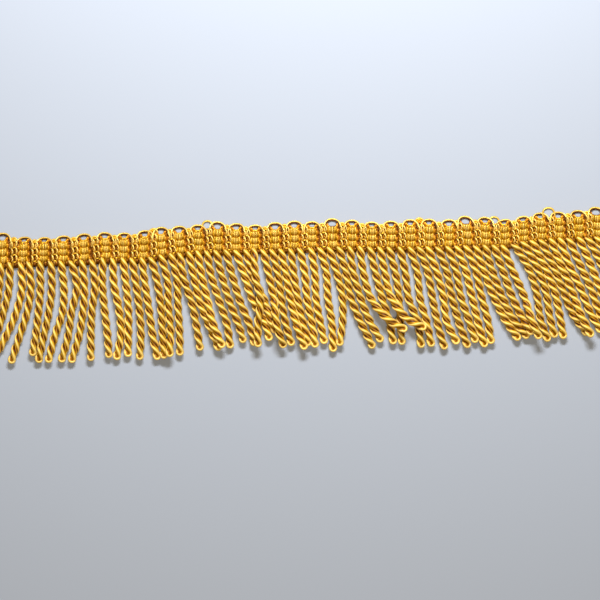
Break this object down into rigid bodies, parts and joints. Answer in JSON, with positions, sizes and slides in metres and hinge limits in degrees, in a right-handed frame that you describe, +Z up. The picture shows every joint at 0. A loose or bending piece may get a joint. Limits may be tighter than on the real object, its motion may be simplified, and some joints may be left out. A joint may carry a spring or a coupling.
{
  "type": "cord fringe trim",
  "caption": "Flat trim with a scalloped gimp heading and a row of short two-ply twisted cords along its lower edge, for edging cushions, curtains and lampshades.",
  "frame": {"origin": "middle of the heading's flat underside, which is the face that is sewn or glued down", "axes": "+X along the trim, +Y from the cords' tips towards the scallops, +Z up from the surface that it lies on"},
  "size_m": [0.2648, 0.0616, 0.0063],
  "materials": {
    "heading_yarn": "satin golden yarn, crocheted, with darker recesses",
    "cord_yarn": "satin golden yarn, two plies twisted"
  },
  "bodies": {
    "root": {"heading": "heading_yarn", "fringe": "cord_yarn"}
  },
  "joints": []
}
